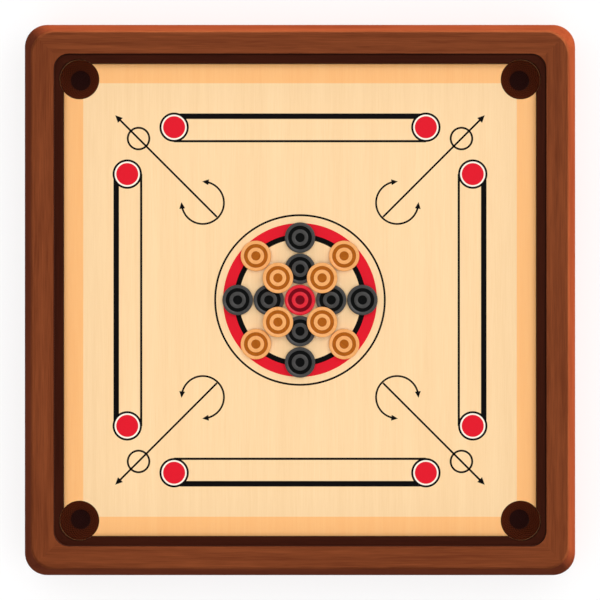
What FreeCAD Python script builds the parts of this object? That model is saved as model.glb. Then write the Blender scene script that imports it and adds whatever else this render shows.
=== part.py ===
"""Carrom board, 22 inch: a square wooden game board with four netted corner pockets and seventeen coins.

Millimetres, +Z up. The origin is on the ground under the middle of the board, where its four feet stand.
The back of the board is +Y. Every size is a cell of the sheet "sizes", and every sub-part is bound to it.
"""
import FreeCAD, Part
import math
import os

import Sketcher

doc = FreeCAD.newDocument("carrom_board")
sizes = doc.addObject("Spreadsheet::Sheet", "sizes")

SIZES = [
    ("board_side", 559.0, "overall width and depth, 22 in"),
    ("rail_height", 50.0, "height of the four rails, 2 in stock"),
    ("rail_width", 30.4, "outer face of a rail to its inner face"),
    ("corner_radius", 22.6, "outer corners of the frame, in plan"),
    ("bevel_width", 7.3, "outer bevel of the frame, in plan"),
    ("bevel_height", 11.0, "outer bevel of the frame, in height"),
    ("bevel_corner_radius", 23.2, "corner of the bevel's upper edge, in plan"),
    ("inner_corner_radius", 14.7, "inner corners of the frame, in plan"),
    ("edge_break", 0.8, "small chamfer that softens the rails' top edges"),
    ("panel_thickness", 8.0, "plywood playing panel"),
    ("panel_drop", 19.0, "top of the rails down to the playing surface"),
    ("groove_depth", 6.0, "groove in the rails that holds the panel"),
    ("panel_edge_gap", 0.5, "room for the panel to swell in its groove"),
    ("cushion_width", 9.1, "cushion strip, in plan"),
    ("cushion_height", 16.0, "cushion strip above the playing surface"),
    ("cushion_chamfer", 1.2, "chamfer on the playing edge of a cushion strip"),
    ("pocket_radius", 20.2, "pocket hole through the panel"),
    ("pocket_bite", 4.6, "how far a pocket hole reaches into the cushion strips beside it"),
    ("net_ground_gap", 6.0, "ground up to the lowest part of a net"),
    ("net_wall", 1.6, "thickness of a net with its knots"),
    ("net_clearance", 0.9, "gap between a net's flat rim and the rails"),
    ("net_flange_thickness", 1.2, "flat rim of a net"),
    ("net_bottom_radius", 11.2, "gathered bottom of a net"),
    ("tack_length", 6.0, "net tack from its head's face to its end"),
    ("tack_radius", 0.6, "net tack shank"),
    ("tack_head_radius", 1.6, "net tack head"),
    ("tack_head_height", 0.8, "net tack head"),
    ("key_across", 30.0, "corner key, across the mitre"),
    ("key_along", 24.0, "corner key, along the mitre"),
    ("key_thickness", 4.0, "corner key, plywood"),
    ("key_height", 9.0, "underside of the rails to the underside of a corner key"),
    ("batten_width", 20.0, "batten under the panel"),
    ("batten_height", 12.0, "batten under the panel"),
    ("screw_radius", 1.75, "batten screw shank"),
    ("screw_head_radius", 3.5, "batten screw, countersunk head"),
    ("screw_head_height", 2.2, "batten screw, countersunk head"),
    ("screw_bite", 6.0, "how deep the batten screws enter the panel"),
    ("screw_clearance", 0.15, "gap between a screw and its hole, in radius"),
    ("screw_near", 70.0, "inner screws of a batten from the middle of the board"),
    ("screw_inset", 59.0, "outer screws of a batten from the rails"),
    ("foot_radius", 9.0, "rubber foot"),
    ("foot_height", 4.0, "rubber foot"),
    ("foot_chamfer", 1.0, "rubber foot, lower edge"),
    ("foot_inset", 47.5, "foot's centre from the end of its rail"),
    ("foot_recess_depth", 2.4, "recess for the screw head"),
    ("foot_screw_radius", 1.5, "foot screw shank"),
    ("foot_screw_length", 14.0, "foot screw under its head"),
    ("foot_head_radius", 3.4, "foot screw pan head"),
    ("foot_head_height", 1.6, "foot screw pan head"),
    ("foot_head_clearance", 0.5, "gap round the screw head in the foot's recess"),
    ("coin_radius", 15.5, "turned coin"),
    ("coin_thickness", 8.0, "turned coin"),
    ("coin_gap", 0.7, "space between neighbouring coins in the opening figure"),
    ("coin_edge", 0.8, "chamfer on a coin's rim"),
    ("coin_rim", 3.4, "flat rim of a coin's face"),
    ("coin_groove", 3.7, "turned groove inside the rim"),
    ("coin_bead", 3.7, "raised ring between the groove and the dimple in the middle"),
    ("coin_relief", 0.6, "depth of the dimple and the groove"),
]

for row, (alias, number, note) in enumerate(SIZES, start=1):
    sizes.set(f"A{row}", note)
    sizes.set(f"B{row}", str(number))
    sizes.setAlias(f"B{row}", alias)
doc.recompute()

# Places that several pieces share, as expressions on the sheet.
HALF = "sizes.board_side / 2"
INNER = f"({HALF} - sizes.rail_width)"
PLAY = f"({INNER} - sizes.cushion_width)"
POCKET = f"({PLAY} + sizes.pocket_bite - sizes.pocket_radius)"
RAIL_MIDDLE = f"({HALF} - sizes.rail_width / 2)"
RIM_Z = "(sizes.foot_height + sizes.rail_height)"
PLAY_Z = f"({RIM_Z} - sizes.panel_drop)"
UNDER_Z = f"({PLAY_Z} - sizes.panel_thickness)"
BATTEN_Z = f"({UNDER_Z} - sizes.batten_height)"
LAP_Z = f"({UNDER_Z} - sizes.batten_height / 2)"
PITCH = "(2 * sizes.coin_radius + sizes.coin_gap)"

PLACES = {"right": (1, 0), "back": (0, 1), "left": (-1, 0), "front": (0, -1)}
CORNERS = {"back_right": (1, 1), "back_left": (-1, 1), "front_left": (-1, -1), "front_right": (1, -1)}
CORNER_OFFSET = 45

nodes = []


def value(expression):
    """The number that an expression on the sheet has now."""
    result = sizes.evalExpression(expression)
    return float(getattr(result, "Value", result))


def named(thing, label):
    """Labels a finished sub-part and adds it to those that are written out."""
    thing.Label = label
    nodes.append(thing)
    return thing


def place(thing, x="0", y="0", z="0", turn=0):
    """Puts a sub-part where three expressions say, turned about +Z by an angle in degrees."""
    thing.Placement = FreeCAD.Placement(FreeCAD.Vector(), FreeCAD.Rotation(FreeCAD.Vector(0, 0, 1), turn))
    for axis, expression in zip("xyz", (x, y, z)):
        thing.setExpression(f"Placement.Base.{axis}", expression)
    return thing


def new_body(name):
    return doc.addObject("PartDesign::Body", name)


def origin_item(body, role):
    """One of a body's own origin planes or axes."""
    return next(item for item in body.Origin.OriginFeatures if item.Role == role)


def new_sketch(body, name, role="XY_Plane", height="0"):
    """A sketch on one of the body's origin planes, lifted off that plane by an expression."""
    sketch = body.newObject("Sketcher::SketchObject", name)
    sketch.AttachmentSupport = (origin_item(body, role), [""])
    sketch.MapMode = "FlatFace"
    sketch.setExpression("AttachmentOffset.Base.z", height)
    return sketch


def bind(sketch, kind, elements, name, expression):
    """Adds one dimension to a sketch and binds it to an expression."""
    index = sketch.addConstraint(Sketcher.Constraint(kind, *elements, value(expression)))
    sketch.renameConstraint(index, name)
    sketch.setExpression(f"Constraints.{name}", expression)


def draw_outline(sketch, points):
    """A closed outline of straight lines. Each corner is a pair of expressions."""
    corners = [FreeCAD.Vector(value(x), value(y), 0) for x, y in points]
    following = corners[1:] + corners[:1]
    sketch.addGeometry([Part.LineSegment(a, b) for a, b in zip(corners, following)], False)
    for line in range(len(points)):
        after = (line + 1) % len(points)
        sketch.addConstraint(Sketcher.Constraint("Coincident", line, 2, after, 1))
    for line, (x, y) in enumerate(points):
        bind(sketch, "DistanceX", (-1, 1, line, 1), f"x{line}", x)
        bind(sketch, "DistanceY", (-1, 1, line, 1), f"y{line}", y)


def draw_rounded_square(sketch, half, radius):
    """A square about the origin with round corners: four lines and four arcs, in turn, anticlockwise."""
    side = value(half)
    reach = value(f"{half} - {radius}")
    z_axis = FreeCAD.Vector(0, 0, 1)
    for quarter in range(4):
        turn = FreeCAD.Rotation(z_axis, 90 * quarter)
        start = turn.multVec(FreeCAD.Vector(side, -reach, 0))
        end = turn.multVec(FreeCAD.Vector(side, reach, 0))
        centre = turn.multVec(FreeCAD.Vector(reach, reach, 0))
        circle = Part.Circle(centre, z_axis, value(radius))
        angle = math.pi / 2 * quarter
        sketch.addGeometry(Part.LineSegment(start, end), False)
        sketch.addGeometry(Part.ArcOfCircle(circle, angle, angle + math.pi / 2), False)
    near = f"{half} - {radius}"
    starts = [(half, f"-({near})"), (near, half), (f"-({half})", near), (f"-({near})", f"-({half})")]
    ends = [(half, near), (f"-({near})", half), (f"-({half})", f"-({near})"), (near, f"-({half})")]
    for quarter in range(4):
        line = 2 * quarter
        arc = line + 1
        sketch.addConstraint(Sketcher.Constraint("Coincident", line, 2, arc, 1))
        sketch.addConstraint(Sketcher.Constraint("Coincident", arc, 2, (line + 2) % 8, 1))
        for end, (x, y) in ((1, starts[quarter]), (2, ends[quarter])):
            bind(sketch, "DistanceX", (-1, 1, line, end), f"x{line}_{end}", x)
            bind(sketch, "DistanceY", (-1, 1, line, end), f"y{line}_{end}", y)
        bind(sketch, "Radius", (arc,), f"r{arc}", radius)


def draw_circle(sketch, x, y, radius):
    """One circle whose centre and radius are expressions."""
    centre = FreeCAD.Vector(value(x), value(y), 0)
    index = sketch.addGeometry(Part.Circle(centre, FreeCAD.Vector(0, 0, 1), value(radius)), False)
    bind(sketch, "DistanceX", (-1, 1, index, 3), f"x{index}", x)
    bind(sketch, "DistanceY", (-1, 1, index, 3), f"y{index}", y)
    bind(sketch, "Radius", (index,), f"r{index}", radius)


def add_pad(body, sketch, length):
    pad = body.newObject("PartDesign::Pad", f"{sketch.Name}_pad")
    pad.Profile = sketch
    pad.setExpression("Length", length)
    return pad


def add_loft(body, lower, upper):
    """A straight-sided loft from one sketch up to the next."""
    loft = body.newObject("PartDesign::AdditiveLoft", f"{upper.Name}_loft")
    loft.Profile = lower
    loft.Sections = [upper]
    loft.Ruled = True
    return loft


def add_cut(body, sketch):
    """A cut from the sketch's plane down through everything below it, checked to take material away."""
    doc.recompute()
    before = body.Shape.Volume
    pocket = body.newObject("PartDesign::Pocket", f"{sketch.Name}_cut")
    pocket.Profile = sketch
    pocket.Type = "ThroughAll"
    doc.recompute()
    if body.Shape.Volume >= before:
        raise RuntimeError(f"{pocket.Name} cuts nothing")
    return pocket


def repeat_round(body, feature, count):
    """Repeats a feature evenly about the body's own vertical axis."""
    pattern = body.newObject("PartDesign::PolarPattern", f"{feature.Name}_pattern")
    pattern.Originals = [feature]
    pattern.Axis = (origin_item(body, "Z_Axis"), [""])
    pattern.Angle = 360
    pattern.Occurrences = count
    body.Tip = pattern
    doc.recompute()
    return pattern


def turned_body(name, points):
    """A body turned about its own vertical axis from an outline of (radius, height) expressions."""
    body = new_body(name)
    sketch = new_sketch(body, f"{name}_section", "XZ_Plane")
    draw_outline(sketch, points)
    turning = body.newObject("PartDesign::Revolution", f"{name}_turning")
    turning.Profile = sketch
    turning.ReferenceAxis = (sketch, ["V_Axis"])
    turning.Angle = 360
    return body


def cut(name, base, tool):
    result = doc.addObject("Part::Cut", name)
    result.Base = base
    result.Tool = tool
    return result


def group(name, members):
    """Several separate solids that share one node."""
    compound = doc.addObject("Part::Compound", name)
    compound.Links = members
    return compound


def copies(name, original, spots):
    """Copies of one piece at the spots given, as (x, y, z) expressions, joined as a group."""
    links = []
    for index, spot in enumerate(spots):
        link = doc.addObject("App::Link", f"{name}_{index}")
        link.LinkedObject = original
        links.append(place(link, *spot))
    return group(name, links)


def centred_box(name, length, width, height, bottom, turn=0, reach="0"):
    """A box turned by `turn` degrees, with its middle `reach` out from the board's middle that way."""
    box = doc.addObject("Part::Box", name)
    box.setExpression("Length", length)
    box.setExpression("Width", width)
    box.setExpression("Height", height)
    out = f"({reach} - ({length}) / 2)"
    side = f"(({width}) / 2)"
    x = f"{out} * cos({turn}) + {side} * sin({turn})"
    y = f"{out} * sin({turn}) - {side} * cos({turn})"
    return place(box, x, y, bottom, turn)


def quarter_tool(name, turn):
    """A square block with one corner on the middle of the board. It holds one side, mitre to mitre."""
    block = doc.addObject("Part::Box", name)
    block.setExpression("Length", "sizes.board_side")
    block.setExpression("Width", "sizes.board_side")
    block.setExpression("Height", f"2 * {RIM_Z}")
    return place(block, turn=turn - CORNER_OFFSET)


def split_in_four(prefix, whole):
    """Mitres a closed frame into its right, back, left and front sides."""
    for quarter, side in enumerate(PLACES):
        piece = doc.addObject("Part::Common", f"{prefix}_{side}_piece")
        piece.Base = whole
        piece.Tool = quarter_tool(f"{prefix}_{side}_quarter", 90 * quarter)
        named(piece, f"{prefix}_{side}")


# Corner keys: a loose plywood tongue glued into both mitred ends at each corner.
MITRE_INSIDE = f"(({INNER} - sizes.inner_corner_radius) * sqrt(2) + sizes.inner_corner_radius)"
MITRE_OUTSIDE = f"(({HALF} - sizes.corner_radius) * sqrt(2) + sizes.corner_radius)"
MITRE_MIDDLE = f"({MITRE_INSIDE} + {MITRE_OUTSIDE}) / 2"
keys = []
for quarter, corner in enumerate(CORNERS):
    key = centred_box(
        f"key_{corner}",
        "sizes.key_along",
        "sizes.key_across",
        "sizes.key_thickness",
        "sizes.foot_height + sizes.key_height",
        turn=CORNER_OFFSET + 90 * quarter,
        reach=MITRE_MIDDLE,
    )
    keys.append(named(key, f"corner_key_{corner}"))

# Frame: four hardwood rails, mitred, keyed and glued, then rounded and bevelled as one.
BEVEL_Z = f"({RIM_Z} - sizes.bevel_height)"
BREAK_Z = f"({RIM_Z} - sizes.edge_break)"
BEVEL_TOP = f"({HALF} - sizes.bevel_width + sizes.edge_break)"
FLAT_TOP = f"({HALF} - sizes.bevel_width - sizes.edge_break)"

frame = new_body("frame_blank")
frame_outline = new_sketch(frame, "frame_outline", height="sizes.foot_height")
draw_rounded_square(frame_outline, HALF, "sizes.corner_radius")
add_pad(frame, frame_outline, "sizes.rail_height - sizes.bevel_height")
bevel_foot = new_sketch(frame, "bevel_foot", height=BEVEL_Z)
draw_rounded_square(bevel_foot, HALF, "sizes.corner_radius")
bevel_top = new_sketch(frame, "bevel_top", height=BREAK_Z)
draw_rounded_square(bevel_top, BEVEL_TOP, "sizes.bevel_corner_radius")
add_loft(frame, bevel_foot, bevel_top)
frame_top = new_sketch(frame, "frame_top", height=RIM_Z)
draw_rounded_square(frame_top, FLAT_TOP, "sizes.bevel_corner_radius")
add_loft(frame, bevel_top, frame_top)
frame_inside = new_sketch(frame, "frame_inside", height=RIM_Z)
draw_rounded_square(frame_inside, INNER, "sizes.inner_corner_radius")
add_cut(frame, frame_inside)
# The inner arris of the rails is eased by a shallow tapered cut.
arris_tool = new_body("arris_tool")
arris_foot = new_sketch(arris_tool, "arris_foot", height=BREAK_Z)
draw_rounded_square(arris_foot, INNER, "sizes.inner_corner_radius")
arris_top = new_sketch(arris_tool, "arris_top", height=RIM_Z)
ARRIS_CORNER = "(sizes.inner_corner_radius + sizes.edge_break)"
draw_rounded_square(arris_top, f"({INNER} + sizes.edge_break)", ARRIS_CORNER)
add_loft(arris_tool, arris_foot, arris_top)

GROOVE_SIDE = f"2 * ({INNER} + sizes.groove_depth)"
groove_tool = centred_box("groove_tool", GROOVE_SIDE, GROOVE_SIDE, "sizes.panel_thickness", UNDER_Z)
eased_frame = cut("eased_frame", frame, arris_tool)
grooved_frame = cut("grooved_frame", eased_frame, groove_tool)
slotted_frame = cut("slotted_frame", grooved_frame, group("key_slots", keys))
split_in_four("rail", slotted_frame)

# Playing panel: one sheet of birch plywood, held in the rails' groove, with a round hole at each pocket.
panel = new_body("panel_body")
panel_outline = new_sketch(panel, "panel_outline", height=UNDER_Z)
PANEL_HALF = f"({INNER} + sizes.groove_depth - sizes.panel_edge_gap)"
panel_corners = [(1, 1), (-1, 1), (-1, -1), (1, -1)]
draw_outline(panel_outline, [(f"{x} * {PANEL_HALF}", f"{y} * {PANEL_HALF}") for x, y in panel_corners])
add_pad(panel, panel_outline, "sizes.panel_thickness")
pocket_hole = new_sketch(panel, "pocket_hole", height=PLAY_Z)
draw_circle(pocket_hole, POCKET, POCKET, "sizes.pocket_radius")
repeat_round(panel, add_cut(panel, pocket_hole), len(CORNERS))
named(panel, "playing_panel")

# Cushion strips: four dark strips glued round the playing surface, mitred and scribed round the pockets.
CUSHION_TOP = f"({PLAY_Z} + sizes.cushion_height)"
CUSHION_CORNER = "(sizes.inner_corner_radius - sizes.cushion_width)"
cushion = new_body("cushion_blank")
cushion_outline = new_sketch(cushion, "cushion_outline", height=PLAY_Z)
draw_rounded_square(cushion_outline, INNER, "sizes.inner_corner_radius")
add_pad(cushion, cushion_outline, "sizes.cushion_height")
cushion_inside = new_sketch(cushion, "cushion_inside", height=CUSHION_TOP)
draw_rounded_square(cushion_inside, PLAY, CUSHION_CORNER)
add_cut(cushion, cushion_inside)
cushion_pocket = new_sketch(cushion, "cushion_pocket", height=CUSHION_TOP)
draw_circle(cushion_pocket, POCKET, POCKET, "sizes.pocket_radius")
repeat_round(cushion, add_cut(cushion, cushion_pocket), len(CORNERS))
# The playing edge of the strips is eased by a shallow tapered cut.
chamfer_tool = new_body("chamfer_tool")
chamfer_foot = new_sketch(chamfer_tool, "chamfer_foot", height=f"({CUSHION_TOP} - sizes.cushion_chamfer)")
draw_rounded_square(chamfer_foot, PLAY, CUSHION_CORNER)
chamfer_top = new_sketch(chamfer_tool, "chamfer_top", height=CUSHION_TOP)
CHAMFER_CORNER = f"({CUSHION_CORNER} + sizes.cushion_chamfer)"
draw_rounded_square(chamfer_top, f"({PLAY} + sizes.cushion_chamfer)", CHAMFER_CORNER)
add_loft(chamfer_tool, chamfer_foot, chamfer_top)
split_in_four("cushion", cut("chamfered_cushion", cushion, chamfer_tool))

# Pocket nets: a pouch of knotted cotton cord, whose flat rim is tacked under the panel round the hole.
NET_DEPTH = f"({UNDER_Z} - sizes.net_ground_gap)"
NET_MOUTH = "(sizes.pocket_radius - sizes.net_wall)"
NET_FLANGE = "(sizes.cushion_width - sizes.pocket_bite - sizes.net_clearance)"
NET_RIM = f"(sizes.pocket_radius + {NET_FLANGE})"
NET_SECTION = [
    (NET_MOUTH, "0"),
    (NET_MOUTH, "-sizes.net_flange_thickness"),
    ("(sizes.net_bottom_radius - sizes.net_wall)", f"-({NET_DEPTH} - sizes.net_wall)"),
    ("0", f"-({NET_DEPTH} - sizes.net_wall)"),
    ("0", f"-{NET_DEPTH}"),
    ("sizes.net_bottom_radius", f"-{NET_DEPTH}"),
    ("sizes.pocket_radius", "-sizes.net_flange_thickness"),
    (NET_RIM, "-sizes.net_flange_thickness"),
    (NET_RIM, "0"),
]
for corner, (x, y) in CORNERS.items():
    net = turned_body(f"net_{corner}", NET_SECTION)
    named(place(net, f"{x} * {POCKET}", f"{y} * {POCKET}", UNDER_Z), f"pocket_net_{corner}")

# Net tacks: round-headed tacks through the rims of the nets into the panel, six to a net.
TACK_SECTION = [
    ("0", "-sizes.tack_head_height"),
    ("sizes.tack_head_radius", "-sizes.tack_head_height"),
    ("sizes.tack_head_radius", "0"),
    ("sizes.tack_radius", "0"),
    ("sizes.tack_radius", "(sizes.tack_length - 2 * sizes.tack_radius)"),
    ("0", "sizes.tack_length"),
]
TACK_CIRCLE = f"(sizes.pocket_radius + {NET_FLANGE} / 2)"
TACKS_PER_NET = 6
tack = turned_body("tack", TACK_SECTION)
tack_spots = []
for x, y in CORNERS.values():
    for step in range(TACKS_PER_NET):
        angle = 360 / TACKS_PER_NET * step + CORNER_OFFSET
        tack_x = f"{x} * {POCKET} + {TACK_CIRCLE} * cos({angle})"
        tack_y = f"{y} * {POCKET} + {TACK_CIRCLE} * sin({angle})"
        tack_spots.append((tack_x, tack_y, f"{UNDER_Z} - sizes.net_flange_thickness"))
named(copies("tacks", tack, tack_spots), "net_tacks")

# Battens: two pine battens halved over each other under the panel, from rail to rail.
SCREW_LENGTH = "(sizes.batten_height + sizes.screw_bite)"
SCREW_SECTION = [
    ("0", "0"),
    ("sizes.screw_head_radius", "0"),
    ("sizes.screw_radius", "sizes.screw_head_height"),
    ("sizes.screw_radius", f"({SCREW_LENGTH} - 2 * sizes.screw_radius)"),
    ("0", SCREW_LENGTH),
]
HOLE_SECTION = [
    ("0", "0"),
    ("(sizes.screw_head_radius + sizes.screw_clearance)", "0"),
    ("(sizes.screw_radius + sizes.screw_clearance)", "sizes.screw_head_height"),
    ("(sizes.screw_radius + sizes.screw_clearance)", SCREW_LENGTH),
    ("0", SCREW_LENGTH),
]
screw_spots = {"across": [], "along": []}
for reach in ("sizes.screw_near", f"({INNER} - sizes.screw_inset)"):
    for sign in (1, -1):
        screw_spots["across"].append((f"{sign} * {reach}", "0", BATTEN_Z))
        screw_spots["along"].append(("0", f"{sign} * {reach}", BATTEN_Z))
screw = turned_body("batten_screw", SCREW_SECTION)
hole_tool = turned_body("batten_hole", HOLE_SECTION)
for name, turn, lap_bottom in (("across", 0, BATTEN_Z), ("along", 90, LAP_Z)):
    blank = centred_box(
        f"batten_{name}_blank", f"2 * {INNER}", "sizes.batten_width", "sizes.batten_height", BATTEN_Z, turn
    )
    lap = centred_box(
        f"batten_{name}_lap",
        "sizes.batten_width",
        "sizes.batten_width",
        "sizes.batten_height / 2",
        lap_bottom,
    )
    lapped = cut(f"batten_{name}_lapped", blank, lap)
    holes = copies(f"batten_{name}_holes", hole_tool, screw_spots[name])
    named(cut(f"batten_{name}_drilled", lapped, holes), f"batten_{name}")
named(copies("screws", screw, screw_spots["across"] + screw_spots["along"]), "batten_screws")

# Feet: turned rubber buttons near the ends of the left and right rails, each held by a pan-head screw.
RECESS_RADIUS = "(sizes.foot_head_radius + sizes.foot_head_clearance)"
FOOT_SECTION = [
    (RECESS_RADIUS, "0"),
    ("(sizes.foot_radius - sizes.foot_chamfer)", "0"),
    ("sizes.foot_radius", "sizes.foot_chamfer"),
    ("sizes.foot_radius", "sizes.foot_height"),
    ("(sizes.foot_screw_radius + sizes.screw_clearance)", "sizes.foot_height"),
    ("(sizes.foot_screw_radius + sizes.screw_clearance)", "sizes.foot_recess_depth"),
    (RECESS_RADIUS, "sizes.foot_recess_depth"),
]
FOOT_SCREW_SECTION = [
    ("0", "-sizes.foot_head_height"),
    ("sizes.foot_head_radius * 0.7", "-sizes.foot_head_height"),
    ("sizes.foot_head_radius", "-sizes.foot_head_height / 2"),
    ("sizes.foot_head_radius", "0"),
    ("sizes.foot_screw_radius", "0"),
    ("sizes.foot_screw_radius", "(sizes.foot_screw_length - 2 * sizes.foot_screw_radius)"),
    ("0", "sizes.foot_screw_length"),
]
foot_screw_spots = []
for corner, (x, y) in CORNERS.items():
    foot_x = f"{x} * {RAIL_MIDDLE}"
    foot_y = f"{y} * ({HALF} - sizes.foot_inset)"
    named(place(turned_body(f"foot_body_{corner}", FOOT_SECTION), foot_x, foot_y), f"foot_{corner}")
    foot_screw_spots.append((foot_x, foot_y, "sizes.foot_recess_depth"))
foot_screw = turned_body("foot_screw", FOOT_SCREW_SECTION)
named(copies("foot_screw_set", foot_screw, foot_screw_spots), "foot_screws")

# Coins: seventeen turned hardwood discs, alike on both faces, set out in the opening figure.
GROOVE_OUTSIDE = "(sizes.coin_radius - sizes.coin_rim)"
GROOVE_INSIDE = f"({GROOVE_OUTSIDE} - sizes.coin_groove)"
DIMPLE = f"({GROOVE_INSIDE} - sizes.coin_bead)"
COIN_SECTION = [
    ("0", "sizes.coin_relief"),
    (f"({DIMPLE} - sizes.coin_relief)", "sizes.coin_relief"),
    (DIMPLE, "0"),
    (GROOVE_INSIDE, "0"),
    (f"({GROOVE_INSIDE} + sizes.coin_relief)", "sizes.coin_relief"),
    (f"({GROOVE_OUTSIDE} - sizes.coin_relief)", "sizes.coin_relief"),
    (GROOVE_OUTSIDE, "0"),
    ("(sizes.coin_radius - sizes.coin_edge)", "0"),
    ("sizes.coin_radius", "sizes.coin_edge"),
]
COIN_SECTION += [(radius, f"(sizes.coin_thickness - {height})") for radius, height in reversed(COIN_SECTION)]


def add_coin(label, x, y, layer=0):
    """One coin with its middle at (x, y), on the panel or lying on the layer of coins below it."""
    coin = turned_body(f"{label}_body", COIN_SECTION)
    named(place(coin, x, y, f"{PLAY_Z} + {layer} * sizes.coin_thickness"), label)


add_coin("queen", "0", "0")
for ring, steps in (("inner", 1), ("outer", 2)):
    for side, (x, y) in PLACES.items():
        add_coin(f"black_{ring}_{side}", f"{x * steps} * {PITCH}", f"{y * steps} * {PITCH}")
# The inner tan coins have no room between the black ones, so each lies on top of two of them.
for ring, steps, layer in (("inner", 1, 1), ("outer", 2, 0)):
    for corner, (x, y) in CORNERS.items():
        coin_x = f"{x * steps} * {PITCH} / sqrt(2)"
        coin_y = f"{y * steps} * {PITCH} / sqrt(2)"
        add_coin(f"tan_{ring}_{corner}", coin_x, coin_y, layer)

doc.recompute()

for thing in doc.Objects:
    if {"Invalid", "Error"} & set(thing.State):
        raise RuntimeError(f"{thing.Name} failed: {thing.State}")
for thing in nodes:
    if thing.Shape.isNull() or not thing.Shape.isValid() or not thing.Shape.Solids:
        raise RuntimeError(f"{thing.Label} has no sound solid")

os.makedirs("parts", exist_ok=True)
for thing in nodes:
    thing.Shape.exportStep(f"parts/{thing.Label}.step")
print(f"{len(nodes)} sub-parts written")
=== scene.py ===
import math

import bmesh
import bpy
import numpy as np
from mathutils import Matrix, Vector


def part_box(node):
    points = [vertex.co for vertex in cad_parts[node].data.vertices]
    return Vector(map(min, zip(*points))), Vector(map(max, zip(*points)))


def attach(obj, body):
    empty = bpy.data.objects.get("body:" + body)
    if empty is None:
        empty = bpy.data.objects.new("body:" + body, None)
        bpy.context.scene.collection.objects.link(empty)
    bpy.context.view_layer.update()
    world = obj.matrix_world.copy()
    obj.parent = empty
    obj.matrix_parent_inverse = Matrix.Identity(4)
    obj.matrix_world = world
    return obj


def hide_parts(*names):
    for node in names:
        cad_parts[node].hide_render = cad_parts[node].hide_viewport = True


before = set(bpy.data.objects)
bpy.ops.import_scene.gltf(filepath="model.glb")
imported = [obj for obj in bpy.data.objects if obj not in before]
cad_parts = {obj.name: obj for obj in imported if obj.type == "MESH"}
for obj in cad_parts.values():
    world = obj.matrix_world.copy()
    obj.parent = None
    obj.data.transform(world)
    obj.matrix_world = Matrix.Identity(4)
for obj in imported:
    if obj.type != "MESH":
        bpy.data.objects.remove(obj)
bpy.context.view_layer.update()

# ------------------------------------------------------------------ frame rails
# Four mitred rails of sheesham, planed, stained reddish brown and lacquered to a satin sheen.
# The outer bevel is planed last, across open pores, and takes the stain redder than the top does.

MM = 0.001
TURN = 2 * math.pi
SIDES = {"right": (1, 0), "back": (0, 1), "left": (-1, 0), "front": (0, -1)}
CORNERS = {"back_right": (1, 1), "back_left": (-1, 1), "front_left": (-1, -1), "front_right": (1, -1)}
RAIL_RING = 6 * MM
RAIL_PORE = 0.7 * MM
PORE_DEPTH = 0.06 * MM
ARRIS = 0.6 * MM
MITRE_FADE = (2 * MM, 5 * MM)
ROUNDED = (0.995, 0.93)
WEAR = 0.45
WEAR_PATCH = 14 * MM
board_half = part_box("rail_right")[1].x
rail_middle = (board_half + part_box("cushion_right")[1].x) / 2


def linear(hex_colour):
    """An sRGB hex colour as the linear colour, with full alpha, that shaders read."""
    channels = [int(hex_colour[i : i + 2], 16) / 255 for i in (1, 3, 5)]
    return [c / 12.92 if c <= 0.04045 else ((c + 0.055) / 1.055) ** 2.4 for c in channels] + [1.0]


def add_node(tree, kind, links=None, out=0, **settings):
    """Adds a shader node and returns its output of that name or number. Settings are the node's properties.
    Links fill its inputs from other nodes' outputs or with plain values."""
    node = tree.nodes.new("ShaderNode" + kind)
    for name, setting in settings.items():
        setattr(node, name, setting)
    for name, source in (links or {}).items():
        if isinstance(source, bpy.types.NodeSocket):
            tree.links.new(source, node.inputs[name])
        else:
            node.inputs[name].default_value = source
    return node.outputs[out]


def new_material(name, **uniform):
    """A material and its node tree. What is the same all over is set on the shader's own sockets."""
    material = bpy.data.materials.new(name)
    material.use_nodes = True
    shader = material.node_tree.nodes["Principled BSDF"]
    for socket, amount in uniform.items():
        shader.inputs[socket.replace("_", " ")].default_value = amount
    return material, material.node_tree


def feed(tree, **sockets):
    """Joins other nodes' outputs to the shader's inputs."""
    shader = tree.nodes["Principled BSDF"]
    for name, socket in sockets.items():
        tree.links.new(socket, shader.inputs[name.replace("_", " ")])


def grain(tree, position, pale, dark, along, ring, fibre, contrast):
    """Wood grain: the sum of two noises whose cells are stretched along the grain, one as wide as a growth
    ring and one as wide as a fibre, slides the colour from pale to dark. The sum stays near 1, and contrast
    is the share of dark where it is high. Gives the colour and the fibres."""
    fields = []
    for width, stretch, detail in ((ring, 30, 3.0), (fibre, 45, 2.0)):
        cells = [1 / width] * 3
        cells["XYZ".index(along)] /= stretch
        stretched = add_node(tree, "Mapping", {"Vector": position, "Scale": cells})
        look = {"Vector": stretched, "Scale": 1.0, "Detail": detail, "Distortion": 0.4}
        fields.append(add_node(tree, "TexNoise", look))
    total = add_node(tree, "Math", {0: fields[0], 1: fields[1]}, operation="ADD")
    spread = {"Value": total, "From Min": 0.7, "From Max": 1.3, "To Max": contrast}
    amount = add_node(tree, "MapRange", spread)
    colour = add_node(tree, "Mix", {0: amount, 6: linear(pale), 7: linear(dark)}, 2, data_type="RGBA")
    return colour, fields[1]


def plan_place(tree, position):
    """How far a point is from the middle of the board along X, along Y, and along whichever is more."""
    spread = add_node(tree, "VectorMath", {0: position}, operation="ABSOLUTE")
    place = add_node(tree, "SeparateXYZ", {"Vector": spread}).node.outputs
    farther = add_node(tree, "Math", {0: place["X"], 1: place["Y"]}, operation="MAXIMUM")
    return place["X"], place["Y"], farther


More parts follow.
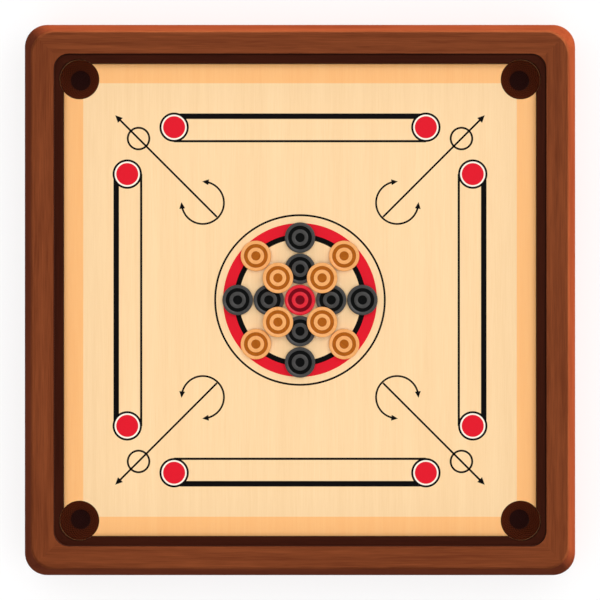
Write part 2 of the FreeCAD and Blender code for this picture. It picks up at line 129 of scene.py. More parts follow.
def stained_sheesham(along):
    """Sheesham under satin lacquer: brown tops, a redder bevel, darker sides, and a near-black painted shade
    on the walls inside the frame. Open pores run along the grain, and the outer arrises are rounded and
    rubbed a little paler."""
    material, tree = new_material(f"stained_sheesham_{along}", Roughness=0.4, Specular_IOR_Level=0.05)
    position = add_node(tree, "TexCoord", out="Object")
    true_normal = add_node(tree, "NewGeometry", out="Normal")
    upright = add_node(tree, "SeparateXYZ", {"Vector": true_normal}, "Z")
    figure = {"along": along, "ring": RAIL_RING, "fibre": RAIL_PORE, "contrast": 0.85}
    colour, pores = grain(tree, position, "#944D2A", "#6A3119", **figure)
    # The stain by how upright the surface is: past each limit, the next shades take over.
    for pale, dark, start, end in (("#7A371C", "#622712", 0.92, 0.8), ("#5E2C18", "#471E0F", 0.4, 0.3)):
        stain, _ = grain(tree, position, pale, dark, **figure)
        past = add_node(tree, "MapRange", {"Value": upright, "From Min": start, "From Max": end})
        colour = add_node(tree, "Mix", {0: past, 6: colour, 7: stain}, 2, data_type="RGBA")
    # A wall inside the frame faces the middle of the board, against its own place in plan. There the colour
    # is a near-black painted shade.
    level = add_node(tree, "VectorMath", {0: position, 1: (1.0, 1.0, 0.0)}, operation="MULTIPLY")
    outwards = add_node(tree, "VectorMath", {0: true_normal, 1: level}, "Value", operation="DOT_PRODUCT")
    inner = add_node(tree, "Math", {0: outwards, 1: -0.05}, operation="LESS_THAN")
    colour = add_node(tree, "Mix", {0: inner, 6: colour, 7: linear("#2C120A")}, 2, data_type="RGBA")
    # Arrises are rounded past the middle of the rail and fade out by the mitres, where two rails meet flush.
    x, y, farther = plan_place(tree, position)
    apart = add_node(tree, "Math", {0: x, 1: y}, operation="SUBTRACT")
    apart = add_node(tree, "Math", {0: apart}, operation="ABSOLUTE")
    fade = {"Value": apart, "From Min": MITRE_FADE[0], "From Max": MITRE_FADE[1]}
    clear = add_node(tree, "MapRange", fade)
    outer = add_node(tree, "Math", {0: farther, 1: rail_middle}, operation="GREATER_THAN")
    clear = add_node(tree, "Math", {0: clear, 1: outer}, operation="MULTIPLY")
    rounded = add_node(tree, "Bevel", {"Radius": ARRIS}, samples=6)
    rounded = add_node(tree, "Mix", {0: clear, 4: true_normal, 5: rounded}, 1, data_type="VECTOR")
    likeness = add_node(tree, "VectorMath", {0: rounded, 1: true_normal}, "Value", operation="DOT_PRODUCT")
    turned_away = {"Value": likeness, "From Min": ROUNDED[0], "From Max": ROUNDED[1], "To Max": WEAR}
    edge = add_node(tree, "MapRange", turned_away)
    patches = add_node(tree, "TexNoise", {"Vector": position, "Scale": 1 / WEAR_PATCH, "Detail": 3.0})
    worn = add_node(tree, "Math", {0: edge, 1: patches}, operation="MULTIPLY")
    colour = add_node(tree, "Mix", {0: worn, 6: colour, 7: linear("#A9663F")}, 2, data_type="RGBA")
    dents = {"Height": pores, "Strength": 1.0, "Distance": PORE_DEPTH, "Normal": rounded}
    relief = add_node(tree, "Bump", dents)
    feed(tree, Base_Color=colour, Normal=relief)
    return material


def finish_nodes(names, material):
    """Gives CAD nodes a material."""
    for name in names:
        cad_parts[name].material_slots[0].material = material


finish_nodes(["rail_front", "rail_back"], stained_sheesham("X"))
finish_nodes(["rail_left", "rail_right"], stained_sheesham("Y"))

# -------------------------------------------------------------- cushion strips
# Four strips of close-grained hardwood, stained nearly black so that the edge of play stands out.
# They are planed, scribed round the pockets, glued to the rails and lacquered.

CUSHION_WIDTH = 9.1 * MM
CUSHION_RING = 3 * MM
CUSHION_FIBRE = 0.5 * MM
CUSHION_PORE_DEPTH = 0.04 * MM
play_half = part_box("cushion_right")[1].x - CUSHION_WIDTH


def black_stained_hardwood(along):
    """Maple stained almost black: fine grain, soft sheen, rounded arrises that catch a thin light."""
    material, tree = new_material(f"black_stained_hardwood_{along}", Roughness=0.5, Specular_IOR_Level=0.04)
    position = add_node(tree, "TexCoord", out="Object")
    figure = {"along": along, "ring": CUSHION_RING, "fibre": CUSHION_FIBRE, "contrast": 0.8}
    colour, pores = grain(tree, position, "#3C170B", "#2B0E06", **figure)
    rounded = add_node(tree, "Bevel", {"Radius": ARRIS}, samples=6)
    dents = {"Height": pores, "Strength": 1.0, "Distance": CUSHION_PORE_DEPTH, "Normal": rounded}
    relief = add_node(tree, "Bump", dents)
    feed(tree, Base_Color=colour, Normal=relief)
    return material


finish_nodes(["cushion_front", "cushion_back"], black_stained_hardwood("X"))
finish_nodes(["cushion_left", "cushion_right"], black_stained_hardwood("Y"))

# --------------------------------------------------------------- playing panel
# One sheet of birch plywood, sanded and polished under many thin coats of lacquer, for fast smooth play.
# A honey-coloured border is stained round its edge, and the sawn edge in the pockets shows the plies.

BORDER_WIDTH = 19.4 * MM
PLY = 1.15 * MM
BIRCH_RING = 11 * MM
BIRCH_FIBRE = 0.8 * MM
play_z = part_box("playing_panel")[1].z


def sawn_plies(tree, position):
    """The edge of plywood: every second ply shows its pale long grain, and the rest their dark end grain."""
    height = add_node(tree, "SeparateXYZ", {"Vector": position}, "Z")
    layer = add_node(tree, "Math", {0: height, 1: 2 * PLY}, operation="FLOORED_MODULO")
    crossed = add_node(tree, "Math", {0: layer, 1: PLY}, operation="GREATER_THAN")
    plies = {0: crossed, 6: linear("#F0C48C"), 7: linear("#B47C46")}
    return add_node(tree, "Mix", plies, 2, data_type="RGBA")


def polished_birch_plywood():
    """Birch ply: pale polished face, stained border, bare underside, and light and dark plies at the edges.
    The lacquer is a clear hard coat, so a lamp shows in it sharply from a low angle."""
    lacquer = {"Roughness": 0.3, "Coat_Weight": 0.5, "Coat_Roughness": 0.08}
    material, tree = new_material("polished_birch_plywood", **lacquer)
    position = add_node(tree, "TexCoord", out="Object")
    figure = {"ring": BIRCH_RING, "fibre": BIRCH_FIBRE}
    face, fibres = grain(tree, position, "#FBD6A3", "#F3CA94", along="Y", contrast=0.7, **figure)
    border, _ = grain(tree, position, "#FFC079", "#FBB46C", along="Y", contrast=0.7, **figure)
    bare, _ = grain(tree, position, "#D9BC92", "#BE9C70", along="X", contrast=0.9, **figure)
    _, _, farther = plan_place(tree, position)
    in_border = add_node(tree, "Math", {0: farther, 1: play_half - BORDER_WIDTH}, operation="GREATER_THAN")
    top = add_node(tree, "Mix", {0: in_border, 6: face, 7: border}, 2, data_type="RGBA")
    edge = sawn_plies(tree, position)
    normal = add_node(tree, "NewGeometry", out="Normal")
    upright = add_node(tree, "SeparateXYZ", {"Vector": normal}, "Z")
    not_top = add_node(tree, "Math", {0: upright, 1: 0.5}, operation="LESS_THAN")
    below = add_node(tree, "Math", {0: upright, 1: -0.5}, operation="LESS_THAN")
    colour = add_node(tree, "Mix", {0: not_top, 6: top, 7: edge}, 2, data_type="RGBA")
    colour = add_node(tree, "Mix", {0: below, 6: colour, 7: bare}, 2, data_type="RGBA")
    relief = add_node(tree, "Bump", {"Height": fibres, "Strength": 1.0, "Distance": 0.01 * MM})
    feed(tree, Base_Color=colour, Normal=relief)
    return material


finish_nodes(["playing_panel"], polished_birch_plywood())

# ------------------------------------------------------------ centre markings
# The playing lines are screen-printed under the last coats: black line ink, then red and white spot inks.
# A print is a film a few hundredths of a millimetre thick, and a later ink lies over an earlier one.

CENTRE = (0.0, 0.0)
CENTRE_CIRCLE = 86.3 * MM
RED_RING = (67.1 * MM, 78.3 * MM)
BLACK_RING = (61.9 * MM, 67.2 * MM)
LINE = 2.0 * MM
INK_SUNK = 0.05 * MM
FIRST_INK = 0.02 * MM
SECOND_INK = 0.035 * MM
MESH_DRAWN = 0.6 * MM
THIN_INK = 0.88


def new_piece(name, part, materials, body="root", zones=None, sharp=40, attributes=None):
    """A piece at the origin from a part: vertices (n, 3), arrays of faces as vertex numbers, and their UVs.
    Zones give each face its material's number, and attributes give each vertex a vector."""
    vertices, faces, uvs = part
    mesh = bpy.data.meshes.new(name)
    mesh.from_pydata(vertices.tolist(), [], sum((group.tolist() for group in faces), []))
    for material in materials:
        mesh.materials.append(material)
    if zones is not None:
        mesh.polygons.foreach_set("material_index", np.asarray(zones, dtype=np.int32))
    if uvs:
        layer = mesh.uv_layers.new(name="along_and_round")
        flat = np.concatenate([np.reshape(uv, -1) for uv in uvs])
        layer.data.foreach_set("uv", flat.astype(np.float32))
    for label, vectors in (attributes or {}).items():
        data = mesh.attributes.new(label, "FLOAT_VECTOR", "POINT").data
        data.foreach_set("vector", vectors.astype(np.float32).ravel())
    shell = bmesh.new()
    shell.from_mesh(mesh)
    bmesh.ops.recalc_face_normals(shell, faces=shell.faces)
    shell.to_mesh(mesh)
    shell.free()
    mesh.polygons.foreach_set("use_smooth", np.ones(len(mesh.polygons), dtype=bool))
    mesh.set_sharp_from_angle(angle=math.radians(sharp))
    piece = bpy.data.objects.new(name, mesh)
    bpy.context.scene.collection.objects.link(piece)
    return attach(piece, body)


def grid_faces(rows, columns, rows_join=False, columns_join=True):
    """Four-cornered faces between the neighbours in a grid of vertices that are numbered row by row. A
    direction that joins also has faces from its last line to its first."""
    row = np.arange(rows if rows_join else rows - 1)[:, None]
    column = np.arange(columns if columns_join else columns - 1)[None, :]
    next_row, next_column = (row + 1) % rows, (column + 1) % columns
    corners = [row * columns + column, row * columns + next_column]
    corners += [next_row * columns + next_column, next_row * columns + column]
    return np.stack(corners, axis=-1).reshape(-1, 4)


def joined(parts):
    """Several parts as one."""
    starts = np.cumsum([0] + [len(vertices) for vertices, _, _ in parts])
    vertices = np.concatenate([vertices for vertices, _, _ in parts])
    faces = [group + start for (_, groups, _), start in zip(parts, starts) for group in groups]
    return vertices, faces, [uv for _, _, uvs in parts for uv in uvs]


def ink_band(left, right, film, closed=False):
    """A film of ink between two edge lines in plan, each (n, 2): a flat rectangle carried along the band. An
    open band has a wall across each end."""
    low, high = play_z - INK_SUNK, play_z + film
    section = [(left, low), (right, low), (right, high), (left, high)]
    lines = [np.column_stack([edge, np.full(len(edge), z)]) for edge, z in section]
    vertices = np.stack(lines, axis=1).reshape(-1, 3)
    faces = [grid_faces(len(left), 4, rows_join=closed)]
    if not closed:
        faces.append(np.arange(4) + np.array([[0], [4 * (len(left) - 1)]]))
    return vertices, faces, []


def ink_patch(outline, film):
    """A film of ink inside a convex outline, (n, 2): its floor, its top and the wall between them."""
    heights = (play_z - INK_SUNK, play_z + film)
    vertices = np.concatenate([np.column_stack([outline, np.full(len(outline), z)]) for z in heights])
    return vertices, [grid_faces(2, len(outline)), np.arange(2 * len(outline)).reshape(2, -1)], []


def circle(centre, radius, start=0.0, sweep=TURN, points=128):
    """Points (n, 2) on a circle, or on an arc when the sweep is less than a turn."""
    angle = start + np.linspace(0, sweep, points, endpoint=sweep < TURN)
    return np.asarray(centre) + radius * np.column_stack([np.cos(angle), np.sin(angle)])


def ink_ring(centre, inner, outer, film, **arc):
    """An ink band between two circles, or two arcs, about one centre."""
    return ink_band(circle(centre, inner, **arc), circle(centre, outer, **arc), film, not arc)


def screen_ink(name, hex_colour):
    """Screen-printed ink: dense and even, with the lacquer's sheen, mottled a little by the mesh. The mesh's
    threads are about 0.1 mm apart, and are drawn at 0.6 mm so that they show."""
    material, tree = new_material(name, Roughness=0.4, Specular_IOR_Level=0.08)
    position = add_node(tree, "TexCoord", out="Object")
    mottle = add_node(tree, "TexNoise", {"Vector": position, "Scale": 1 / MESH_DRAWN, "Detail": 2.0})
    ink = linear(hex_colour)
    thin = [THIN_INK * channel for channel in ink[:3]] + [1.0]
    feed(tree, Base_Color=add_node(tree, "Mix", {0: mottle, 6: ink, 7: thin}, 2, data_type="RGBA"))
    return material


black_ink = screen_ink("black_line_ink", "#080606")
red_ink = screen_ink("red_spot_ink", "#E41B2D")
new_piece("centre_red_ring", ink_ring(CENTRE, *RED_RING, FIRST_INK), [red_ink])
new_piece("centre_black_ring", ink_ring(CENTRE, *BLACK_RING, SECOND_INK), [black_ink])
thin_circle = ink_ring(CENTRE, CENTRE_CIRCLE - LINE / 2, CENTRE_CIRCLE + LINE / 2, FIRST_INK)
new_piece("centre_circle", thin_circle, [black_ink])

# ------------------------------------------------------------------ base lines
# A player shoots from between a thick and a thin line along each side. At both ends the lines meet a red
# spot on a white ground with a black ring, printed over them.

SPOT_ALONG = 128.1 * MM
SPOT_OUT = 175.8 * MM
SPOT_RADIUS = 11.2 * MM
RING_RADIUS = 13.9 * MM
RING_WIDTH = 2.1 * MM
THICK_LINE = (187.0 * MM, 5.6 * MM)
THIN_LINE = (161.6 * MM, 2.3 * MM)
THICK_TUCK = 6.0 * MM


def ink_line(start, end, width, film):
    """A straight ink band of an even width: its edges stand half the width to either side of the line."""
    start, end = np.asarray(start, float), np.asarray(end, float)
    ahead = (end - start) / np.linalg.norm(end - start)
    aside = np.array([-ahead[1], ahead[0]]) * width / 2
    ends = np.stack([start, end])
    return ink_band(ends + aside, ends - aside, film)


base_lines, base_rings, base_grounds, base_spots = [], [], [], []
for x, y in SIDES.values():
    out, along = np.array([x, y], float), np.array([-y, x], float)
    for (distance, width), tuck in ((THICK_LINE, THICK_TUCK), (THIN_LINE, 0.0)):
        reach = along * (SPOT_ALONG - tuck)
        base_lines.append(ink_line(out * distance - reach, out * distance + reach, width, FIRST_INK))
    for end in (-1, 1):
        spot = out * SPOT_OUT + along * SPOT_ALONG * end
        inside = RING_RADIUS - RING_WIDTH / 2
        base_rings.append(ink_ring(spot, inside, RING_RADIUS + RING_WIDTH / 2, SECOND_INK))
        base_grounds.append(ink_ring(spot, SPOT_RADIUS, inside, SECOND_INK))
        base_spots.append(ink_patch(circle(spot, SPOT_RADIUS), SECOND_INK))
new_piece("base_lines", joined(base_lines), [black_ink])
new_piece("base_rings", joined(base_rings), [black_ink])
new_piece("base_ring_grounds", joined(base_grounds), [screen_ink("white_spot_ink", "#FFF2E2")])
new_piece("base_spots", joined(base_spots), [red_ink])

# ------------------------------------------------------------- diagonal arrows
# A fine line with a head points to each pocket. A small circle sits on it, and a curl with a head at each
# end goes round its inner end. All are printed in the black line ink.

ARROW_FROM = 84.5 * MM
ARROW_TO = 188.0 * MM
ARROW_HEAD = (7.4 * MM, 7.0 * MM)
ARROW_CIRCLE_AT = 164.3 * MM
ARROW_CIRCLE_RADIUS = 10.95 * MM
CURL_AT = 98.9 * MM
CURL_RADIUS = 21.5 * MM
CURL_LINE = 1.9 * MM
CURL_HEAD = (6.6 * MM, 6.0 * MM)
CURL_GAP = math.radians(52)


def arrow_head(middle, ahead, length, width, film):
    """A filled triangle about a middle point, with its tip in the direction ahead."""
    ahead = np.asarray(ahead, float) / np.linalg.norm(ahead)
    aside = np.array([-ahead[1], ahead[0]]) * width / 2
    tip, back = middle + ahead * length / 2, middle - ahead * length / 2
    return ink_patch(np.stack([tip, back + aside, back - aside]), film)


arrows, arrow_circles, curls = [], [], []
for x, y in CORNERS.values():
    diagonal = np.array([x, y], float)
    ahead = diagonal / math.sqrt(2)
    head_middle = diagonal * ARROW_TO - ahead * ARROW_HEAD[0] / 2
    arrows.append(ink_line(diagonal * ARROW_FROM, head_middle, LINE, FIRST_INK))
    arrows.append(arrow_head(head_middle, ahead, *ARROW_HEAD, SECOND_INK))
    edges = (ARROW_CIRCLE_RADIUS - LINE / 2, ARROW_CIRCLE_RADIUS + LINE / 2)
    arrow_circles.append(ink_ring(diagonal * ARROW_CIRCLE_AT, *edges, SECOND_INK))
    # The curl leaves out the part that faces the pocket, and a head stands on either side of the gap.
    start = math.atan2(y, x) + CURL_GAP
    edges = (CURL_RADIUS - CURL_LINE / 2, CURL_RADIUS + CURL_LINE / 2)
    sweep = TURN - 2 * CURL_GAP
    curls.append(ink_ring(diagonal * CURL_AT, *edges, SECOND_INK, start=start, sweep=sweep))
    for end, way in ((start, 1), (start + sweep, -1)):
        middle = diagonal * CURL_AT + CURL_RADIUS * np.array([math.cos(end), math.sin(end)])
        tangent = way * np.array([math.sin(end), -math.cos(end)])
        curls.append(arrow_head(middle, tangent, *CURL_HEAD, FIRST_INK))
new_piece("diagonal_arrows", joined(arrows), [black_ink])
new_piece("arrow_circles", joined(arrow_circles), [black_ink])
new_piece("arrow_curls", joined(curls), [black_ink])

# ----------------------------------------------------------------- pocket nets
# A bag of twisted cotton cord hangs under each pocket hole and catches the coins. Its cords cross and are
# knotted into diamonds, its mouth is laced to a rim of three rings, and its foot is a coiled mat of
# black-dyed cord, whose near-black is also a painted shade for the dark bottom of the pocket.

under_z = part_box("playing_panel")[0].z
net_foot_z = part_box("pocket_net_back_right")[0].z
NET_CORDS = 24
NET_ROWS = 8
NET_CORD = 0.55 * MM
NET_WEAVE = 0.28 * MM
NET_KNOT = (0.95 * MM, 0.85 * MM)
NET_MOUTH = 19.4 * MM
NET_NARROWS = 9.0 * MM
NET_BELLY = 0.5 * MM
NET_LIP = 0.9 * MM
NET_LIP_DROP = 0.02
NET_TOP_GAP = 0.7 * MM
NET_FOOT_GAP = 1.0 * MM
HAIR = 0.02 * MM
RIM_RINGS = (20.4 * MM, 21.9 * MM, 23.15 * MM)
RIM_CORD = 0.58 * MM
LACING_WAVES = 30
LACING_CORD = 0.3 * MM
LACING_DROP = 0.35 * MM
MAT_RADIUS = 10.4 * MM
MAT_CORD = 0.75 * MM
CORD_PLY_TURN = 2.4 * MM
CORD_PLIES = 2
PLY_GROOVE = 0.2 * MM


def tube(paths, radius, sides, closed=False):
    """Round cords along paths (cords, points, 3): at each point, a circle square to the way the path runs.
    One spoke of it is level. UVs are the length along the cord in metres and the share of a turn."""
    following = np.concatenate([paths, paths[:, :1]], axis=1) if closed else paths
    if closed:
        ahead = np.roll(paths, -1, axis=1) - np.roll(paths, 1, axis=1)
    else:
        ahead = np.gradient(paths, axis=1)
    ahead /= np.linalg.norm(ahead, axis=-1, keepdims=True)
    level = np.cross(ahead, (0.0, 0.0, 1.0))
    level /= np.linalg.norm(level, axis=-1, keepdims=True)
    steep = np.cross(level, ahead)
    angle = (np.arange(sides) / sides * TURN)[:, None]
    spokes = level[:, :, None] * np.cos(angle) + steep[:, :, None] * np.sin(angle)
    vertices = (paths[:, :, None] + radius * spokes).reshape(-1, 3)
    cords, points = paths.shape[:2]
    starts = np.arange(cords)[:, None, None] * points * sides
    faces = [(grid_faces(points, sides, rows_join=closed) + starts).reshape(-1, 4)]
    steps = np.linalg.norm(np.diff(following, axis=1), axis=-1)
    run = np.concatenate([np.zeros((cords, 1)), np.cumsum(steps, axis=1)], axis=1)[:, :, None]
    share = (np.arange(sides + 1) / sides)[None, None, :]
    run, share = np.broadcast_arrays(run, share)
    uv = np.stack([run, share], axis=-1)
    corners = [uv[:, :-1, :-1], uv[:, :-1, 1:], uv[:, 1:, 1:], uv[:, 1:, :-1]]
    uvs = [np.stack(corners, axis=3).reshape(-1, 4, 2)]
    if not closed:
        ends = np.arange(sides) + np.array([[0], [(points - 1) * sides]])
        faces.append((ends + starts).reshape(-1, sides))
        uvs.append(np.zeros(faces[-1].shape + (2,)))
    return vertices, faces, uvs


def turned(profile, steps):
    """A solid of revolution: each point (radius, height) of the profile becomes a ring of vertices, and the
    first and last, on the axis, are single vertices that close it with triangles."""
    angle = np.arange(steps) / steps * TURN
    radius, height = profile[1:-1, :1], profile[1:-1, 1:]
    rings = [radius * np.cos(angle), radius * np.sin(angle), height + 0 * angle]
    poles = np.column_stack([np.zeros((2, 2)), profile[[0, -1], 1]])
    vertices = np.concatenate([np.stack(rings, axis=-1).reshape(-1, 3), poles])
    count = len(radius)
    here = np.arange(steps)
    beyond = (here + 1) % steps
    faces = [grid_faces(count, steps)]
    for pole, ring in ((count * steps, 0), (count * steps + 1, (count - 1) * steps)):
        faces.append(np.column_stack([np.full(steps, pole), here + ring, beyond + ring]))
    return vertices, faces, [np.zeros(group.shape + (2,)) for group in faces]


def repeated(part, centres):
    """A copy of the part about each centre (m, 3), all as one part."""
    vertices, faces, uvs = part
    starts = np.arange(len(centres))[:, None, None] * len(vertices)
    groups = [(group + starts).reshape(-1, group.shape[1]) for group in faces]
    moved = (centres[:, None] + vertices).reshape(-1, 3)
    return moved, groups, [np.tile(uv, (len(centres), 1, 1)) for uv in uvs]


def ball(radius, half_height, steps):
    """A ball of revolution, flattened or stretched: half an ellipse turned about its axis."""
    half_turn = np.linspace(0, math.pi, max(5, steps // 2 + 1))
    profile = np.column_stack([np.sin(half_turn) * radius, np.cos(half_turn) * half_height])
    profile[[0, -1], 0] = 0
    return turned(profile, steps)


def on_cone(angle, drop, weave=0.0):
    """Points of the net's bag: drop goes from 0 at the mouth to 1 at the mat. The bag narrows evenly, bellies
    a little, and flares out to the rim over its first few hundredths."""
    radius = NET_MOUTH - NET_NARROWS * drop + NET_BELLY * np.sin(math.pi * drop) + weave
    radius = radius + NET_LIP * np.exp(-drop / NET_LIP_DROP)
    top, foot = under_z - NET_TOP_GAP, net_foot_z + NET_FOOT_GAP
    height = top + (foot - top) * drop
    return np.stack(np.broadcast_arrays(radius * np.cos(angle), radius * np.sin(angle), height), axis=-1)


def net_bag():
    """Two families of cords that wind down the bag, one each way. They pass over and under each other by a
    cosine of their drop, and a flattened ball stands for the knot at every crossing."""
    start = np.arange(NET_CORDS)[:, None] / NET_CORDS * TURN
    drop = np.linspace(0, 1, 4 * NET_ROWS + 1)[None, :]
    winding = NET_ROWS * math.pi / NET_CORDS
    parts = []
    for way in (-1, 1):
        weave = way * NET_WEAVE * np.cos(math.pi * NET_ROWS * drop)
        parts.append(tube(on_cone(start + way * winding * drop, drop, weave), NET_CORD, 6))
    row = (np.arange(1, NET_ROWS) / NET_ROWS)[:, None]
    knots = on_cone(start.T + winding * row, row).reshape(-1, 3)
    parts.append(repeated(ball(*NET_KNOT, 6), knots))
    return joined(parts)


def net_rim():
    """Three rings of cord, and a lacing that winds in and out over them as a sine of the angle."""
    angle = np.linspace(0, TURN, 96, endpoint=False)
    height = under_z - RIM_CORD - HAIR
    rings = [[radius * np.cos(angle), radius * np.sin(angle), height + 0 * angle] for radius in RIM_RINGS]
    rings = np.stack([np.stack(ring, axis=-1) for ring in rings])
    angle = np.linspace(0, TURN, 12 * LACING_WAVES, endpoint=False)
    wave = angle * LACING_WAVES
    radius = np.mean(RIM_RINGS) + (RIM_RINGS[2] - RIM_RINGS[0]) / 2 * np.cos(wave)
    lacing = [radius * np.cos(angle), radius * np.sin(angle), height - LACING_DROP + 0 * angle]
    lacing = np.stack(lacing, axis=-1)[None]
    return joined([tube(rings, RIM_CORD, 8, closed=True), tube(lacing, LACING_CORD, 6, closed=True)])


def coiled_mat():
    """A spiral of thick cord, whose radius shrinks by one cord's width for every turn, round a flat knot."""
    turns = (MAT_RADIUS - MAT_CORD) / (2 * MAT_CORD)
    along = np.linspace(0, 1, int(36 * turns))
    angle, radius = along * turns * TURN, MAT_RADIUS - along * turns * 2 * MAT_CORD
    height = net_foot_z + MAT_CORD + HAIR
    path = np.stack([radius * np.cos(angle), radius * np.sin(angle), height + 0 * angle], axis=-1)
    stopper = ball(1.5 * MAT_CORD, MAT_CORD, 12)
    return joined([tube(path[None], MAT_CORD, 8), repeated(stopper, np.array([[0.0, 0.0, height]]))])


def twisted_cotton(name, pale, dark, ply_turn):
    """Dyed cotton cord of two plies: dull, a little fuzzy, with a slanting groove between the plies, darker
    down in it as a painted shade. The groove is a sine of the length along the cord and the way round it,
    from the cord's own UVs."""
    material, tree = new_material(name, Roughness=0.9, Specular_IOR_Level=0.03)
    unrolled = add_node(tree, "UVMap", uv_map="along_and_round")
    place = add_node(tree, "SeparateXYZ", {"Vector": unrolled}).node.outputs
    run = add_node(tree, "Math", {0: place["X"], 1: TURN / ply_turn * CORD_PLIES}, operation="MULTIPLY")
    around = add_node(tree, "Math", {0: place["Y"], 1: TURN * CORD_PLIES}, operation="MULTIPLY")
    phase = add_node(tree, "Math", {0: run, 1: around}, operation="ADD")
    plies = add_node(tree, "Math", {0: phase}, operation="SINE")
    height = add_node(tree, "MapRange", {"Value": plies, "From Min": -1.0, "From Max": 1.0})
    # The colour follows the groove's depth: darker down in it, a painted shade.
    colours = {0: height, 6: linear(dark), 7: linear(pale)}
    relief = add_node(tree, "Bump", {"Height": height, "Strength": 1.0, "Distance": PLY_GROOVE})
    feed(tree, Base_Color=add_node(tree, "Mix", colours, 2, data_type="RGBA"), Normal=relief)
    return material


brown_cotton = twisted_cotton("brown_twisted_cotton", "#80381F", "#461F11", CORD_PLY_TURN)
# The mat's near-black is partly its dye and partly a painted shade for the foot of the pocket.
black_cotton_and_painted_shade = twisted_cotton("black_twisted_cotton", "#381A17", "#1C0D0B", 2 * CORD_PLY_TURN)
cords = joined([net_bag(), net_rim()])
mat = coiled_mat()
for corner in CORNERS:
    low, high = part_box(f"pocket_net_{corner}")
    hole = np.array([(low.x + high.x) / 2, (low.y + high.y) / 2, 0.0])
    bag = new_piece(f"net_cords_{corner}", (cords[0] + hole, *cords[1:]), [brown_cotton], sharp=80)
    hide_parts(f"pocket_net_{corner}")
    foot = new_piece(f"net_mat_{corner}", (mat[0] + hole, *mat[1:]), [black_cotton_and_painted_shade], sharp=80)

# ------------------------------------------------------------------- net tacks
# Six brass upholstery tacks hold each net's rim to the underside of the panel.
# Stamped and drawn from brass, they are bright with a slight brown bloom.


def drawn_brass():
    """Brass: warm yellow metal, polished by drawing and dulled in patches by handling."""
    material, tree = new_material("drawn_brass", Metallic=1.0, Roughness=0.32)
    position = add_node(tree, "TexCoord", out="Object")
    bloom = add_node(tree, "TexNoise", {"Vector": position, "Scale": 1 / (1.5 * MM), "Detail": 3.0})
    colours = {0: bloom, 6: linear("#D9B45C"), 7: linear("#A67F38")}
    feed(tree, Base_Color=add_node(tree, "Mix", colours, 2, data_type="RGBA"))
    return material


finish_nodes(["net_tacks"], drawn_brass())

# ----------------------------------------------------------------- corner keys
# A flat key of plywood is glued into a slot across each mitre, under the panel, and ties two rails.
# It is cut from thin sheet and left bare.


def bare_plywood():
    """Bare birch plywood: dull, with light and dark plies round its edge."""
    material, tree = new_material("bare_plywood", Roughness=0.8)
    position = add_node(tree, "TexCoord", out="Object")
    figure = {"ring": 8 * MM, "fibre": BIRCH_FIBRE, "contrast": 0.9}
    face, fibres = grain(tree, position, "#D8BA8E", "#B8946A", along="X", **figure)
    normal = add_node(tree, "NewGeometry", out="Normal")
    upright = add_node(tree, "SeparateXYZ", {"Vector": normal}, "Z")
    flat = add_node(tree, "Math", {0: upright}, operation="ABSOLUTE")
    edge = add_node(tree, "Math", {0: flat, 1: 0.5}, operation="LESS_THAN")
    sawn = sawn_plies(tree, position)
    relief = add_node(tree, "Bump", {"Height": fibres, "Strength": 1.0, "Distance": 0.05 * MM})
    colour = add_node(tree, "Mix", {0: edge, 6: face, 7: sawn}, 2, data_type="RGBA")
    feed(tree, Base_Color=colour, Normal=relief)
    return material


finish_nodes([f"corner_key_{corner}" for corner in CORNERS], bare_plywood())

# --------------------------------------------------------------------- battens
# Two battens of planed pine cross under the panel, halved together where they meet, and keep it flat.
# They are glued and screwed, and left bare.


def planed_pine(along):
    """Bare pine: pale yellow, with broad soft bands of darker late wood, and a dull planed surface."""
    material, tree = new_material(f"planed_pine_{along}", Roughness=0.7)
    position = add_node(tree, "TexCoord", out="Object")
    figure = {"along": along, "ring": 4 * MM, "fibre": 0.7 * MM, "contrast": 0.9}
    colour, fibres = grain(tree, position, "#E8C994", "#C3935A", **figure)
    relief = add_node(tree, "Bump", {"Height": fibres, "Strength": 1.0, "Distance": 0.08 * MM})
    feed(tree, Base_Color=colour, Normal=relief)
    return material


finish_nodes(["batten_across"], planed_pine("X"))
finish_nodes(["batten_along"], planed_pine("Y"))

# ---------------------------------------------------------------------- screws
# Countersunk wood screws go through the battens into the panel, and pan-head screws hold the feet.
# They are steel with a bright zinc plating.


def zinc_plated_steel():
    """Zinc plating: a cool grey metal, satin rather than bright, with a faint cloudy spangle."""
    material, tree = new_material("zinc_plated_steel", Metallic=1.0, Roughness=0.35)
    position = add_node(tree, "TexCoord", out="Object")
    spangle = add_node(tree, "TexNoise", {"Vector": position, "Scale": 1 / (1.2 * MM), "Detail": 2.0})
    colours = {0: spangle, 6: linear("#C9CCCE"), 7: linear("#9FA3A8")}
    feed(tree, Base_Color=add_node(tree, "Mix", colours, 2, data_type="RGBA"))
    return material


finish_nodes(["batten_screws", "foot_screws"], zinc_plated_steel())

# ------------------------------------------------------------------------ feet
# Four moulded rubber feet, recessed for a screw, keep the board from sliding and lift it off the table.
# Black natural rubber comes out of the mould with a dull, fine texture.


def moulded_rubber():
    """Black rubber: dull and slightly dusty, with a fine spark-eroded texture drawn at half a millimetre."""
    material, tree = new_material("moulded_rubber", Roughness=0.8)
    position = add_node(tree, "TexCoord", out="Object")
    texture = add_node(tree, "TexNoise", {"Vector": position, "Scale": 1 / (0.5 * MM), "Detail": 3.0})
    colours = {0: texture, 6: linear("#1E1D1C"), 7: linear("#2F2D2B")}
    relief = add_node(tree, "Bump", {"Height": texture, "Strength": 1.0, "Distance": 0.03 * MM})
    feed(tree, Base_Color=add_node(tree, "Mix", colours, 2, data_type="RGBA"), Normal=relief)
    return material


finish_nodes([f"foot_{corner}" for corner in CORNERS], moulded_rubber())
